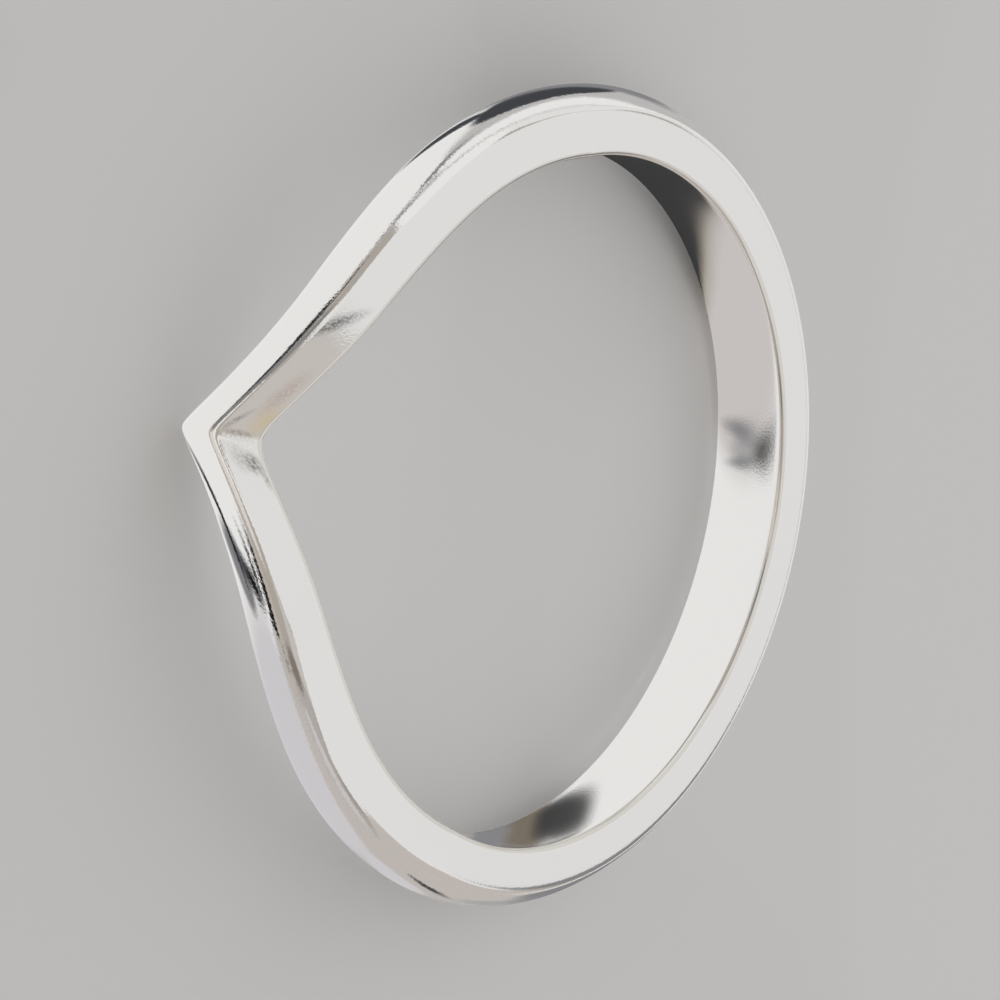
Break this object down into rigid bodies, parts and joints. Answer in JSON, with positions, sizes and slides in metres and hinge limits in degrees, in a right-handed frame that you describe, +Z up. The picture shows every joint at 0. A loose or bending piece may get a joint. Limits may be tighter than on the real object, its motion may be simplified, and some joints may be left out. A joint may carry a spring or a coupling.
{
  "type": "chevron ring",
  "caption": "Plain polished silver finger ring whose band dips to a V point at the front, with flat side faces and a domed outside, lying on its side.",
  "frame": {"origin": "on the floor, under the middle of the ring's box as the ring lies on its side", "axes": "+Z up, -Y towards the point of the V, +X to the right as seen from the point"},
  "size_m": [0.0204, 0.0212, 0.004],
  "materials": {
    "polished_silver": "polished sterling silver, with a mirror bright domed outside and lightly scratched side faces"
  },
  "bodies": {
    "root": {"ring_band": "polished_silver"}
  },
  "joints": []
}
